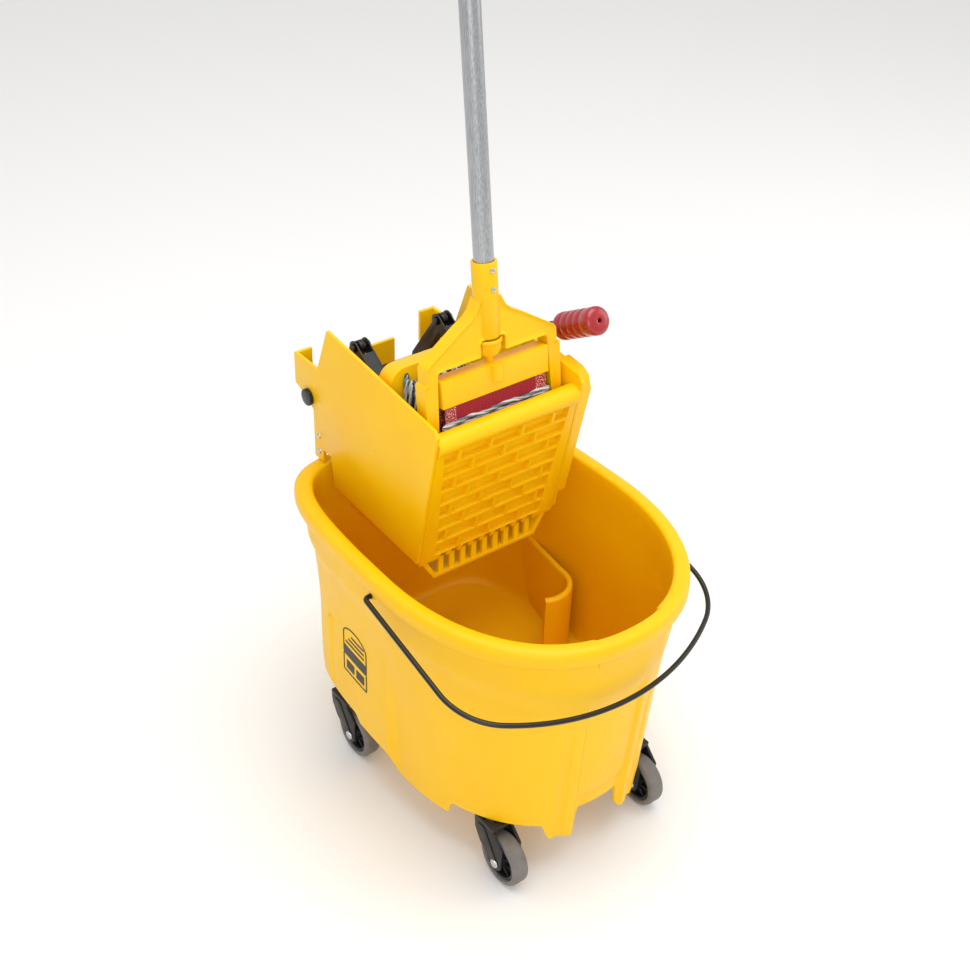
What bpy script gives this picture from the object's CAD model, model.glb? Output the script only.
import math
import random

import bmesh
import bpy
from mathutils import Matrix, Vector
from mathutils.bvhtree import BVHTree


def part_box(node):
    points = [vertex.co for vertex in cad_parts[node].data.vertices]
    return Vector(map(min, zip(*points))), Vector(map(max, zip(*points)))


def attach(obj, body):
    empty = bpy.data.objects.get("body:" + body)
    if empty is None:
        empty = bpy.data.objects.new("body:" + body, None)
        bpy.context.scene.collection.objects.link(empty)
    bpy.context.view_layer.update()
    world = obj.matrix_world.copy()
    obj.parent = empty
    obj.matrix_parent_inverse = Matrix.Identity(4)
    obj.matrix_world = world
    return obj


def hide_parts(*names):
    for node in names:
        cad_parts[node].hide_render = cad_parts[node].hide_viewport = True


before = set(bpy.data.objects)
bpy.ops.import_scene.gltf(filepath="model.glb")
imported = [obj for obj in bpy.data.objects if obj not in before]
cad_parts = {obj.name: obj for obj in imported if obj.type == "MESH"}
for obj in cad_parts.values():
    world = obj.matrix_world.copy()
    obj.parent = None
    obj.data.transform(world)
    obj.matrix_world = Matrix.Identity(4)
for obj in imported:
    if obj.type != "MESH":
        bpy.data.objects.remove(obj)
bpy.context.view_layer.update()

# ---- Camera, floor and light ----
# A standing person looks down at the bucket's spout end from its left. A large soft box hangs
# overhead, a softer one stands at the left front, and the floor is matt white board.
body_low, body_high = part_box("bucket_body")
RIM_FRONT = 0.260
MID_Y = body_low.y + RIM_FRONT
CAMERA_PLACE = Vector((-0.9498, -1.1476 + MID_Y, 1.5351))
AZIMUTH, PITCH, ROLL = (math.radians(a) for a in (-38.519, 35.070, 1.987))
FOCAL_PER_FRAME = 1433.58 / 970
ahead = Vector((-math.sin(AZIMUTH) * math.cos(PITCH), math.cos(AZIMUTH) * math.cos(PITCH), -math.sin(PITCH)))
level = Vector((math.cos(AZIMUTH), math.sin(AZIMUTH), 0))
above = level.cross(ahead)
right = level * math.cos(ROLL) + above * math.sin(ROLL)
up = above * math.cos(ROLL) - level * math.sin(ROLL)
camera_data = bpy.data.cameras.new("camera")
camera = bpy.data.objects.new("camera", camera_data)
bpy.context.scene.collection.objects.link(camera)
camera_data.sensor_width = 36
camera_data.lens = 36 * FOCAL_PER_FRAME
camera_data.clip_end = 50
camera.matrix_world = Matrix.Translation(CAMERA_PLACE) @ Matrix((right, up, -ahead)).transposed().to_4x4()
bpy.context.scene.camera = camera
bpy.context.scene.view_settings.view_transform = "Standard"


def linear(hex_colour):
    """An sRGB hex colour as the linear RGBA that a shader socket takes."""
    parts = [int(hex_colour[i : i + 2], 16) / 255 for i in (1, 3, 5)]
    return [p / 12.92 if p <= 0.04045 else ((p + 0.055) / 1.055) ** 2.4 for p in parts] + [1]


def node(tree, kind, settings=None, inputs=None):
    """Adds a node; an input is a value, or the socket that it is linked from."""
    made = tree.nodes.new(kind)
    for name, value in (settings or {}).items():
        setattr(made, name, value)
    for name, value in (inputs or {}).items():
        if isinstance(value, bpy.types.NodeSocket):
            tree.links.new(value, made.inputs[name])
        else:
            made.inputs[name].default_value = value
    return made


def new_material(name, **sockets):
    """A material with its Principled shader's sockets set; returns material, tree and shader."""
    material = bpy.data.materials.new(name)
    material.use_nodes = True
    shader = material.node_tree.nodes["Principled BSDF"]
    for socket, value in sockets.items():
        shader.inputs[socket.replace("_", " ")].default_value = value
    return material, material.node_tree, shader


def area_light(name, place, target, size, watts):
    data = bpy.data.lights.new(name, "AREA")
    data.size = size
    data.energy = watts
    light = bpy.data.objects.new(name, data)
    bpy.context.scene.collection.objects.link(light)
    light.location = place
    light.rotation_euler = (Vector(target) - Vector(place)).to_track_quat("-Z", "Y").to_euler()


area_light("overhead_box", (0.1, -0.3, 3.4), (0, 0, 0.3), 2.6, 62)
area_light("front_left_box", (-2.2, -2.6, 2.0), (0, 0, 0.4), 2.0, 30)
area_light("right_box", (2.6, -1.2, 1.6), (0, 0, 0.4), 1.8, 14)
world = bpy.data.worlds.new("studio")
bpy.context.scene.world = world
world.use_nodes = True
world.node_tree.nodes["Background"].inputs["Color"].default_value = linear("#ffffff")
world.node_tree.nodes["Background"].inputs["Strength"].default_value = 0.72

bpy.ops.object.select_all(action="DESELECT")
bpy.ops.mesh.primitive_plane_add(size=40, location=(0, 0, 0))
floor = bpy.context.object
floor.name = "studio_floor"
board, tree, shader = new_material("matt_white_board", Base_Color=linear("#f6f5f3"), Roughness=0.85)
shader.inputs["Specular IOR Level"].default_value = 0.2
floor.data.materials.append(board)

# ---- Bucket ----
# One thick injection-moulded shell of yellow polypropylene: a rolled rim with a pour spout, a
# band below it, drafted walls, raised caster housings at the rear and a hand recess in front.
RIM_HALF = body_high.x
RIM_BACK = body_high.y - MID_Y
COLUMNS = 480
FRONT_POWER, BACK_POWER, BACK_TAPER = 2.2, 6, 0.1
WALL = 0.004
FLOOR_Z = 0.131
DECK_Z = 0.125


def outline(angle, inset):
    """Plan of the bucket, drawn in by inset: round in front, square with a taper behind."""
    c, s = math.cos(angle), math.sin(angle)
    power = FRONT_POWER if s < 0 else BACK_POWER
    reach = (RIM_FRONT if s < 0 else RIM_BACK) - inset
    y = reach * math.copysign(abs(s) ** (2 / power), s)
    narrow = 1 if s < 0 else 1 - BACK_TAPER * (y / reach) ** 2
    return (RIM_HALF - inset) * math.copysign(abs(c) ** (2 / power), c) * narrow, y


def even_angles(count):
    """Angles at which the outline's points are equally far apart."""
    fine = [2 * math.pi * i / 40000 for i in range(40001)]
    places = [outline(a, 0.02) for a in fine]
    run = [0.0]
    for a, b in zip(places, places[1:]):
        run.append(run[-1] + math.dist(a, b))
    angles, k = [], 0
    for i in range(count):
        while run[k + 1] < run[-1] * i / count:
            k += 1
        angles.append(fine[k])
    return angles


def ease(low, high, value):
    """0 below low, 1 above high, smooth between; low may be the greater one."""
    t = min(1, max(0, (value - low) / (high - low)))
    return t * t * (3 - 2 * t)


def along(table, z):
    """Straight-line reading of a short table of (z, value)."""
    for (z0, v0), (z1, v1) in zip(table, table[1:]):
        if z <= z1:
            return v0 + (v1 - v0) * max(0, z - z0) / (z1 - z0)
    return table[-1][1]


SIDE_DRAFT = [(0.07, 0.0365), (0.13, 0.033), (0.22, 0.027), (0.328, 0.0196), (0.333, 0.0190),
              (0.340, 0.0172), (0.348, 0.0140), (0.354, 0.0130), (0.397, 0.011)]
FRONT_DRAFT = [(0.07, 0.0365), (0.13, 0.033), (0.22, 0.027), (0.285, 0.0224), (0.310, 0.0200),
               (0.345, 0.0150), (0.365, 0.0130), (0.397, 0.011)]
HOUSING_FROM, HOUSING_TO = 0.008, 0.205
RECESS_HALF = 0.043
SPOUT_HALF, SPOUT_DEPTH = 0.046, 0.014


def outer_inset(x, y, z):
    front = ease(-0.13, -0.22, y)
    inset = along(SIDE_DRAFT, z) * (1 - front) + along(FRONT_DRAFT, z) * front
    housing = ease(HOUSING_FROM - 0.003, HOUSING_FROM + 0.002, y) * ease(HOUSING_TO + 0.02, HOUSING_TO, y)
    inset -= 0.0095 * housing * ease(0.300, 0.120, z)
    if y < 0:
        recess = ease(RECESS_HALF + 0.006, RECESS_HALF - 0.003, abs(x))
        inset += 0.009 * recess * ease(0.330, 0.270, z)
        flute = ease(0.060, 0.064, abs(x)) * ease(0.074, 0.070, abs(x))
        inset += 0.0028 * flute * ease(0.290, 0.240, z)
    return inset


def skirt_edge(x, y):
    """Height of the skirt's lower edge: cut away over the casters and under the spout."""
    x = abs(x)
    if y > 0.010:
        return 0.106 + 0.012 * ease(0.086, 0.100, y)
    if y > -0.100:
        return 0.074
    over_caster = 0.074 + 0.023 * ease(-0.100, -0.108, y)
    tongue = over_caster + (0.070 - over_caster) * ease(0.092, 0.080, x)
    return tongue + (0.112 - tongue) * ease(0.044, 0.037, x)


RIM_ROLL = [(0.0085, 0.3985), (0.0040, 0.4000), (0.0014, 0.4020), (0, 0.4060), (0, 0.4150), (0.0006, 0.4195),
            (0.0025, 0.4232), (0.0058, 0.4253), (0.0100, 0.4260), (0.0165, 0.4260), (0.0192, 0.4254),
            (0.0212, 0.4238), (0.0220, 0.4212), (0.0220, 0.4070)]
INNER_DRAFT = [(0.131, 0.0378), (0.140, 0.037), (0.220, 0.031), (0.330, 0.0238), (0.358, 0.0214),
               (0.407, 0.0220)]


def rim_inset(inset, x, y, z):
    """Draws the rim's inner edge outward at the pour spout."""
    if y > 0 or inset < 0.018:
        return inset
    spout = ease(SPOUT_HALF + 0.004, SPOUT_HALF - 0.001, abs(x))
    return inset - SPOUT_DEPTH * spout * ease(0.330, 0.405, z) * min(1, (inset - 0.008) / 0.012)


def bucket_column(angle):
    """One upright section through the wall: up the outside, over the rim, down to the floor."""
    x0, y0 = outline(angle, 0.02)
    low = skirt_edge(x0, y0)
    section = []
    upper = [0.130 + 0.0085 * i for i in range(24)] + [0.330, 0.334, 0.338, 0.342, 0.346, 0.350, 0.354, 0.362,
                                                     0.372, 0.382, 0.390, 0.397]
    for z in [low + (0.130 - low) * i / 9 for i in range(9)] + upper:
        section.append((outer_inset(x0, y0, z), z))
    section += RIM_ROLL
    inner = [0.400, 0.390, 0.378, 0.366, 0.354, 0.342, 0.330] + [0.330 - 0.0135 * i for i in range(1, 14)]
    section += [(along(INNER_DRAFT, z), z) for z in inner] + [(0.0380, 0.1430)]
    section += [(0.0390, 0.1380), (0.0415, 0.1340), (0.0450, 0.1317), (0.0490, 0.1310), (0.075, FLOOR_Z)]
    foot = outer_inset(x0, y0, low) + WALL
    below = [(0.080, DECK_Z), (outer_inset(x0, y0, DECK_Z) + WALL + 0.004, DECK_Z),
             (outer_inset(x0, y0, DECK_Z) + WALL, DECK_Z - 0.004), (foot, low + 0.001), (foot - 0.001, low)]
    return [(*outline(angle, rim_inset(d, x0, y0, z)), z) for d, z in section], [
        (*outline(angle, d), z) for d, z in below]


def only(piece):
    """Makes piece the one selected and active object."""
    bpy.ops.object.select_all(action="DESELECT")
    piece.select_set(True)
    bpy.context.view_layer.objects.active = piece


def add_mesh(name, points, faces):
    mesh = bpy.data.meshes.new(name)
    mesh.from_pydata(points, [], faces)
    piece = bpy.data.objects.new(name, mesh)
    bpy.context.scene.collection.objects.link(piece)
    return piece


def lofted(name, columns):
    """A closed skin through upright sections that go round; its first and last rows are capped."""
    rows = len(columns[0])
    points = [p for column in columns for p in column]
    faces = []
    for i in range(len(columns)):
        a, b = i * rows, (i + 1) % len(columns) * rows
        faces += [(a + k, b + k, b + k + 1, a + k + 1) for k in range(rows - 1)]
    faces.append([i * rows for i in range(len(columns))][::-1])
    faces.append([i * rows + rows - 1 for i in range(len(columns))])
    return add_mesh(name, points, faces)


def to_row(piece):
    """Moves a piece drawn about the bucket's middle into the row frame."""
    piece.data.transform(Matrix.Translation((0, MID_Y, 0)))


bucket_angles = even_angles(COLUMNS)
columns = []
for angle in bucket_angles:
    upper_part, below = bucket_column(angle)
    columns.append(below + upper_part)
bucket = lofted("bucket_shell", columns)

# The wave baffles stand on the floor: a straight run off the side wall that hooks inward.
BAFFLE_TOP = 0.250
BAFFLE_HALF = 0.0045
baffle_line = [(0.1690, 0.165), (0.1640, 0.13), (0.1585, 0.09), (0.1545, 0.06)]
baffle_line += [(0.112 + 0.042 * math.cos(math.radians(a)), 0.052 + 0.042 * math.sin(math.radians(a)))
                for a in range(0, -125, -8)]


def baffle(name, side):
    """A standing wall with a rounded top that follows baffle_line, mirrored for side -1."""
    profile = [(-1, FLOOR_Z - 0.003), (-1, BAFFLE_TOP - 0.0045)]
    profile += [(-math.cos(math.radians(a)), BAFFLE_TOP - 0.0045 + 0.0045 * math.sin(math.radians(a)))
                for a in range(20, 180, 20)]
    profile += [(1, BAFFLE_TOP - 0.0045), (1, FLOOR_Z - 0.003)]
    points, faces = [], []
    for i, (x, y) in enumerate(baffle_line):
        before, after = baffle_line[max(0, i - 1)], baffle_line[min(len(baffle_line) - 1, i + 1)]
        run = Vector((after[0] - before[0], after[1] - before[1])).normalized()
        swell = 1 + 0.35 * ease(9, 18, i)
        for u, z in profile:
            points.append((side * (x - run.y * u * BAFFLE_HALF * swell),
                           y + run.x * u * BAFFLE_HALF * swell, z))
    n = len(profile)
    for i in range(len(baffle_line) - 1):
        faces += [(i * n + k, i * n + k + 1, (i + 1) * n + k + 1, (i + 1) * n + k) for k in range(n - 1)]
        faces.append((i * n + n - 1, i * n, (i + 1) * n, (i + 1) * n + n - 1))
    faces += [list(range(n)), [len(points) - n + k for k in range(n)][::-1]]
    return add_mesh(name, points, faces)


def joined(main, others):
    """Joins others into main as further shells of one mesh, all normals outward."""
    only(main)
    for other in others:
        other.select_set(True)
    bpy.ops.object.join()
    bpy.ops.object.mode_set(mode="EDIT")
    bpy.ops.mesh.select_all(action="SELECT")
    bpy.ops.mesh.normals_make_consistent(inside=False)
    bpy.ops.object.mode_set(mode="OBJECT")
    return main


def tube(name, outer, inner, low, high, place, sides=48):
    """An upright tube with chamfered ends, drawn about a place in the plan."""
    rings = [(inner, low), (outer - 0.0006, low), (outer, low + 0.0006), (outer, high - 0.0006),
             (outer - 0.0006, high), (inner, high)]
    points = [(place[0] + r * math.cos(2 * math.pi * i / sides),
               place[1] + r * math.sin(2 * math.pi * i / sides), z)
              for i in range(sides) for r, z in rings]
    n = len(rings)
    faces = [(i * n + k, (i + 1) % sides * n + k, (i + 1) % sides * n + (k + 1) % n, i * n + (k + 1) % n)
             for i in range(sides) for k in range(n)]
    return add_mesh(name, points, faces)


CORNERS = ["fl", "fr", "bl", "br"]


def middle(node_name):
    low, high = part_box(node_name)
    return (low + high) / 2


bosses = []
for corner in CORNERS:
    stem = middle(f"caster_stem_{corner}")
    bosses.append(tube("boss", 0.0095, 0.00555, 0.096, 0.127, (stem.x, stem.y - MID_Y)))
joined(bucket, [baffle("baffle_r", 1), baffle("baffle_l", -1)] + bosses)
to_row(bucket)
only(bucket)
bpy.ops.object.shade_smooth_by_angle(angle=math.radians(38))

# Injection-moulded polypropylene, dyed through: a deep warm yellow with a soft gloss. Fine
# moulding grain of 0.7 mm is drawn at 1.6 mm so that it shows, and the floor end is scuffed.
def moulded_plastic(name, colour, rubbed, grain_mm=1.6, gloss=0.34, scuff=0.0):
    material, tree, shader = new_material(name, IOR=1.49, Specular_IOR_Level=0.32)
    place = node(tree, "ShaderNodeTexCoord").outputs["Object"]
    cloud = node(tree, "ShaderNodeTexNoise", {}, {"Vector": place, "Scale": 9.0, "Detail": 3.0})
    tone = node(tree, "ShaderNodeMapRange", {},
                {"Value": cloud.outputs["Fac"], "From Min": 0.35, "From Max": 0.7,
                                                 "To Min": 0.0, "To Max": 0.55})
    mix = node(tree, "ShaderNodeMixRGB", {}, {"Fac": tone.outputs["Result"], "Color1": linear(colour),
                                              "Color2": linear(rubbed)})
    tree.links.new(mix.outputs["Color"], shader.inputs["Base Color"])
    haze = node(tree, "ShaderNodeTexNoise", {},
                {"Vector": place, "Scale": 38.0, "Detail": 6.0, "Roughness": 0.7})
    matt = node(tree, "ShaderNodeMapRange", {},
                {"Value": haze.outputs["Fac"], "From Min": 0.3, "From Max": 0.75,
                                                 "To Min": gloss - 0.05, "To Max": gloss + 0.14 + scuff})
    tree.links.new(matt.outputs["Result"], shader.inputs["Roughness"])
    grain = node(tree, "ShaderNodeTexNoise", {}, {"Vector": place, "Scale": 1000 / grain_mm, "Detail": 2.0})
    bump = node(tree, "ShaderNodeBump", {}, {"Height": grain.outputs["Fac"], "Strength": 0.08,
                                             "Distance": 0.0004})
    tree.links.new(bump.outputs["Normal"], shader.inputs["Normal"])
    return material


bucket_plastic = moulded_plastic("bucket_polypropylene", "#f7c200", "#f3b800", scuff=0.05)
bucket.data.materials.append(bucket_plastic)
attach(bucket, "bucket")
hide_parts("bucket_body")

# ---- Side label ----
# A black foil print on the raised rear housing: an arched frame, a solid band and short bars.
# It carries no words. The foil follows the wall's curve and stands 0.3 mm proud of it.
label_low, label_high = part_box("side_label")
LABEL_Y, LABEL_Z = (label_low.y + label_high.y) / 2, (label_low.z + label_high.z) / 2
LABEL_W, LABEL_H = 0.060, 0.082
FOIL = 0.0003


def on_wall(piece, wall, away):
    """Drops a flat print from the left onto the wall, standing off by away."""
    tree = BVHTree.FromObject(wall, bpy.context.evaluated_depsgraph_get())
    for v in piece.data.vertices:
        place, normal, _, _ = tree.ray_cast(Vector((-0.5, v.co.y, v.co.z)), Vector((1, 0, 0)))
        v.co = place + normal * away


def printed_bar(y0, z0, y1, z1, steps=14):
    """A flat patch of print; y runs to the rear and z up, about the label's middle."""
    points = [(0, LABEL_Y + y0 + (y1 - y0) * i / steps, LABEL_Z + z) for i in range(steps + 1)
              for z in (z0, z1)]
    return points, [(2 * i, 2 * i + 1, 2 * i + 3, 2 * i + 2) for i in range(steps)]


def printed_line(path, width):
    """A closed or open band of print along a path of (y, z)."""
    points, faces = [], []
    for i, (y, z) in enumerate(path):
        a, b = Vector(path[max(0, i - 1)]), Vector(path[min(len(path) - 1, i + 1)])
        run = (b - a).normalized()
        for s in (-0.5, 0.5):
            points.append((0, LABEL_Y + y - run.y * s * width, LABEL_Z + z + run.x * s * width))
        if i:
            k = 2 * i
            faces.append((k - 2, k - 1, k + 1, k))
    return points, faces


def dense(corners, step=0.003):
    """The straight runs between corners, cut into short steps."""
    path = []
    for a, b in zip(corners, corners[1:]):
        cuts = max(1, round(math.dist(a, b) / step))
        path += [(a[0] + (b[0] - a[0]) * i / cuts, a[1] + (b[1] - a[1]) * i / cuts) for i in range(cuts)]
    return path + [corners[-1]]


half_w, half_h = LABEL_W / 2, LABEL_H / 2
arch = [(-half_w, -0.008)] + [(-half_w * math.cos(math.radians(a)), 0.024 + 0.017 * math.sin(math.radians(a)))
                              for a in range(0, 181, 10)] + [(half_w, -0.008)]
prints = [printed_line(dense(arch), 0.0020), printed_bar(-half_w, -0.012, half_w, 0.004)]
prints += [printed_line(dense([(-half_w, -0.012), (-half_w, -half_h), (half_w, -half_h), (half_w, -0.012)]),
                        0.0020)]
prints += [printed_bar(-half_w + 0.006, 0.011 + 0.008 * k, half_w - 0.006 - 0.008 * k, 0.0135 + 0.008 * k)
           for k in range(3)]
prints += [printed_bar(-half_w + 0.006 + 0.026 * k, -0.034, -half_w + 0.026 + 0.026 * k, -0.020)
           for k in range(2)]
foils = []
for points, faces in prints:
    foil = add_mesh("foil", points, faces)
    on_wall(foil, bucket, FOIL)
    only(foil)
    bpy.ops.object.mode_set(mode="EDIT")
    bpy.ops.mesh.select_all(action="SELECT")
    bpy.ops.mesh.normals_make_consistent(inside=False)
    bpy.ops.object.mode_set(mode="OBJECT")
    thick = foil.modifiers.new("thick", "SOLIDIFY")
    thick.thickness = 2 * FOIL
    thick.offset = 0
    bpy.ops.object.modifier_apply(modifier="thick")
    foils.append(foil)
label = joined(foils[0], foils[1:])
label.name = "side_print"
foil_black, tree, shader = new_material("black_foil_print", Base_Color=linear("#0f0d0d"), Roughness=0.50)
speck = node(tree, "ShaderNodeTexNoise", {}, {"Vector": node(tree, "ShaderNodeTexCoord").outputs["Object"],
                                              "Scale": 900.0, "Detail": 2.0})
worn = node(tree, "ShaderNodeMapRange", {}, {"Value": speck.outputs["Fac"], "To Min": 0.34, "To Max": 0.55})
tree.links.new(worn.outputs["Result"], shader.inputs["Roughness"])
label.data.materials.append(foil_black)
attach(label, "bucket")
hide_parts("side_label")

# ---- Bail lugs and bail ----
# Two moulded lugs under the rim hold the ends of a black painted steel wire, 6.8 mm thick, which
# bends round two shoulders and a wide front bow and hangs a little below level.
ear_low, ear_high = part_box("bail_ears")
BAIL_AXIS = Vector((0, (ear_low.y + ear_high.y) / 2, (ear_low.z + ear_high.z) / 2))
bail_low, bail_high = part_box("bail")
WIRE_R = 0.0034
BAIL_HALF = 0.2075
BAIL_DROP = math.radians(14)
SHOULDER_R, SHOULDER_TURN = 0.088, math.radians(59)
BAIL_REACH = (BAIL_AXIS.y - bail_low.y - WIRE_R) / math.cos(BAIL_DROP)
BOW_R = (BAIL_HALF - SHOULDER_R * (1 - math.cos(SHOULDER_TURN))) / math.cos(SHOULDER_TURN)
BAIL_SIDE = BAIL_REACH - SHOULDER_R * math.sin(SHOULDER_TURN) - BOW_R * (1 - math.sin(SHOULDER_TURN))


def swept(name, line, section, closed_ends=True):
    """Carries a cross-section along a line with no needless twist; section(i) gives ring i's points (u, v)."""
    line = [Vector(p) for p in line]
    points, faces = [], []
    side = None
    for i, p in enumerate(line):
        run = (line[min(i + 1, len(line) - 1)] - line[max(i - 1, 0)]).normalized()
        if side is None:
            side = run.orthogonal().normalized()
        side = (side - run * side.dot(run)).normalized()
        other = run.cross(side)
        ring = section(i)
        points += [p + side * u + other * v for u, v in ring]
    n = len(ring)
    for i in range(len(line) - 1):
        faces += [(i * n + k, i * n + (k + 1) % n, (i + 1) * n + (k + 1) % n, (i + 1) * n + k)
                  for k in range(n)]
    if closed_ends:
        faces += [list(range(n))[::-1], [len(points) - n + k for k in range(n)]]
    return add_mesh(name, points, faces)


def arc(centre, radius, start, sweep, steps):
    return [(centre[0] + radius * math.cos(start + sweep * i / steps),
             centre[1] + radius * math.sin(start + sweep * i / steps))
            for i in range(steps + 1)]


# The wire's left half in its own plane: hook, side, shoulder; then the bow; then the right half.
hook = [(-BAIL_HALF + 0.0130, 0), (-BAIL_HALF + 0.009, 0)] + [
    (x, y) for x, y in arc((-BAIL_HALF + 0.0050, -0.0050), 0.0050, math.pi / 2, math.pi / 2, 6)]
left_half = hook + [(-BAIL_HALF, -0.02 - (BAIL_SIDE - 0.02) * i / 6) for i in range(6)]
left_half += arc((-BAIL_HALF + SHOULDER_R, -BAIL_SIDE), SHOULDER_R, math.pi, SHOULDER_TURN, 18)
bow = arc((0, BOW_R - BAIL_REACH), BOW_R, math.pi + SHOULDER_TURN, math.pi - 2 * SHOULDER_TURN, 40)
flat_wire = left_half + bow[1:-1] + [(-x, y) for x, y in left_half[::-1]]
wire_line = [BAIL_AXIS + Vector((x, y * math.cos(BAIL_DROP), y * math.sin(BAIL_DROP))) for x, y in flat_wire]
wire_ring = [(WIRE_R * math.cos(math.pi * k / 8), WIRE_R * math.sin(math.pi * k / 8)) for k in range(16)]
bail = swept("bail_wire", wire_line, lambda i: wire_ring)
only(bail)
bpy.ops.object.shade_smooth_by_angle(angle=math.radians(50))
# Painted steel: a thin black coat with a low, slightly pulled sheen and specks worn by the hand.
painted, tree, shader = new_material("black_painted_wire", Metallic=0.0, Roughness=0.3)
place = node(tree, "ShaderNodeTexCoord").outputs["Object"]
chips = node(tree, "ShaderNodeTexNoise", {}, {"Vector": place, "Scale": 260.0, "Detail": 4.0})
shade = node(tree, "ShaderNodeValToRGB", {}, {"Fac": chips.outputs["Fac"]})
shade.color_ramp.elements[0].color = linear("#0a0909")
shade.color_ramp.elements[1].color = linear("#151314")
tree.links.new(shade.outputs["Color"], shader.inputs["Base Color"])
sheen = node(tree, "ShaderNodeMapRange", {}, {"Value": chips.outputs["Fac"], "To Min": 0.22, "To Max": 0.42})
tree.links.new(sheen.outputs["Result"], shader.inputs["Roughness"])
bail.data.materials.append(painted)
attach(bail, "bail")
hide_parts("bail")


def moulded_copy(node_name, piece_name, radius, shortest=0.004, corner=30, steps=3):
    """A CAD part's shape with its long sharp edges rounded, as a mould leaves them."""
    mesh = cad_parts[node_name].data.copy()
    mesh.materials.clear()
    piece = bpy.data.objects.new(piece_name, mesh)
    bpy.context.scene.collection.objects.link(piece)
    only(piece)
    bpy.ops.mesh.customdata_custom_splitnormals_clear()
    bpy.ops.object.mode_set(mode="EDIT")
    bpy.ops.mesh.select_all(action="SELECT")
    bpy.ops.mesh.remove_doubles(threshold=0.00002)
    bpy.ops.mesh.dissolve_limited(angle_limit=math.radians(0.6))
    bpy.ops.mesh.select_mode(type="EDGE")
    bpy.ops.mesh.select_all(action="DESELECT")
    bpy.ops.mesh.edges_select_sharp(sharpness=math.radians(corner))
    edit = bmesh.from_edit_mesh(mesh)
    for e in edit.edges:
        if e.select and e.calc_length() < shortest:
            e.select = False
    bmesh.update_edit_mesh(mesh)
    bpy.ops.mesh.bevel(offset=radius, segments=steps, affect="EDGES", clamp_overlap=True)
    bpy.ops.mesh.select_all(action="SELECT")
    bpy.ops.mesh.remove_doubles(threshold=0.00001)
    bpy.ops.object.mode_set(mode="OBJECT")
    bpy.ops.object.shade_smooth_by_angle(angle=math.radians(40))
    return piece


def finished(piece, material, body, slot, *nodes):
    """Gives a piece its material, body, record slot and the CAD nodes that it stands for."""
    piece.data.materials.clear()
    piece.data.materials.append(material)
    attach(piece, body)
    if nodes:
        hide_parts(*nodes)


ears = moulded_copy("bail_ears", "bail_lugs", 0.0010, shortest=0.0001)
finished(ears, bucket_plastic, "bucket", "bucket_plastic", "bail_ears")

# ---- Casters ----
# Four 76 mm swivel casters: a zinc-plated stem in the bucket's boss, a black nylon fork with a
# fender, a riveted axle, a ribbed black hub and a grey thermoplastic rubber tread.
WHEEL_R = (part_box("caster_tread_fl")[1].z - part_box("caster_tread_fl")[0].z) / 2
TRAIL = 0.030
CROWN_TOP = 0.094
HUB_R = 0.029
nylon, tree, shader = new_material("black_nylon", Base_Color=linear("#0e0d0d"), IOR=1.53)
place = node(tree, "ShaderNodeTexCoord").outputs["Object"]
pebble = node(tree, "ShaderNodeTexVoronoi", {}, {"Vector": place, "Scale": 700.0})
bump = node(tree, "ShaderNodeBump", {}, {"Height": pebble.outputs["Distance"], "Strength": 0.25,
                                         "Distance": 0.0004})
tree.links.new(bump.outputs["Normal"], shader.inputs["Normal"])
dust = node(tree, "ShaderNodeTexNoise", {}, {"Vector": place, "Scale": 60.0, "Detail": 5.0})
matt = node(tree, "ShaderNodeMapRange", {}, {"Value": dust.outputs["Fac"], "To Min": 0.28, "To Max": 0.6})
tree.links.new(matt.outputs["Result"], shader.inputs["Roughness"])

rubber, tree, shader = new_material("grey_thermoplastic_rubber", IOR=1.5)
place = node(tree, "ShaderNodeTexCoord").outputs["Object"]
wear = node(tree, "ShaderNodeTexNoise", {}, {"Vector": place, "Scale": 90.0, "Detail": 6.0})
shade = node(tree, "ShaderNodeValToRGB", {}, {"Fac": wear.outputs["Fac"]})
shade.color_ramp.elements[0].color = linear("#5f5b58")
shade.color_ramp.elements[1].color = linear("#857f7a")
tree.links.new(shade.outputs["Color"], shader.inputs["Base Color"])
soft = node(tree, "ShaderNodeMapRange", {}, {"Value": wear.outputs["Fac"], "To Min": 0.48, "To Max": 0.72})
tree.links.new(soft.outputs["Result"], shader.inputs["Roughness"])

# Zinc plate on steel: bright, faintly blue, with fine turning lines.
zinc, tree, shader = new_material("zinc_plated_steel", Base_Color=linear("#c9cbcc"), Metallic=1.0)
lines = node(tree, "ShaderNodeTexNoise", {}, {"Vector": node(tree, "ShaderNodeTexCoord").outputs["Object"],
                                              "Scale": 420.0, "Detail": 3.0})
polish = node(tree, "ShaderNodeMapRange", {}, {"Value": lines.outputs["Fac"], "To Min": 0.18, "To Max": 0.42})
tree.links.new(polish.outputs["Result"], shader.inputs["Roughness"])


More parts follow.
